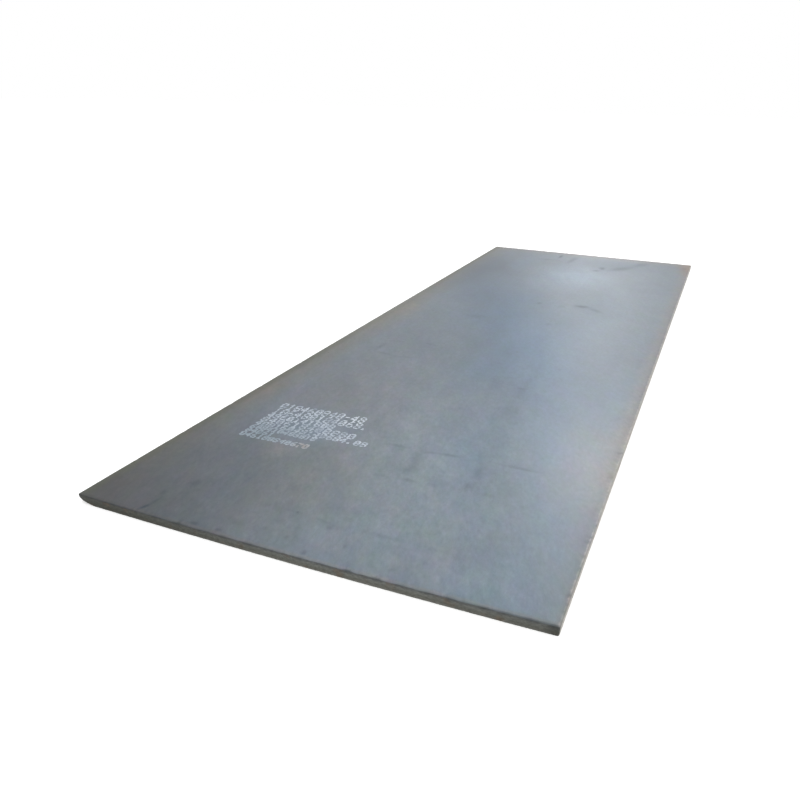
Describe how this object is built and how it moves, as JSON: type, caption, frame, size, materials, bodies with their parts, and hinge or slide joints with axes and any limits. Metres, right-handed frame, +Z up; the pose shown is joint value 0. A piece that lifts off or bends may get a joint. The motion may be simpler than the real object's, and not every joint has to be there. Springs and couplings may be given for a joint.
{
  "type": "steel plate",
  "caption": "Heavy hot-rolled steel plate with mill scale, sheared edges and one shallowly crowned end, lying flat.",
  "frame": {"origin": "on the underside, in the middle of the plate's length and width", "axes": "+Y along the plate from the crowned end to the straight end, +X across it, +Z up out of the upper face"},
  "size_m": [2, 6, 0.04],
  "materials": {
    "scaled_steel": "hot-rolled mill scale, blue-grey and satin, browner and duller towards the crowned end, with faint cross marks, smudges and a block of worn white stencilled figures"
  },
  "bodies": {
    "root": {"plate": "scaled_steel"}
  },
  "joints": []
}
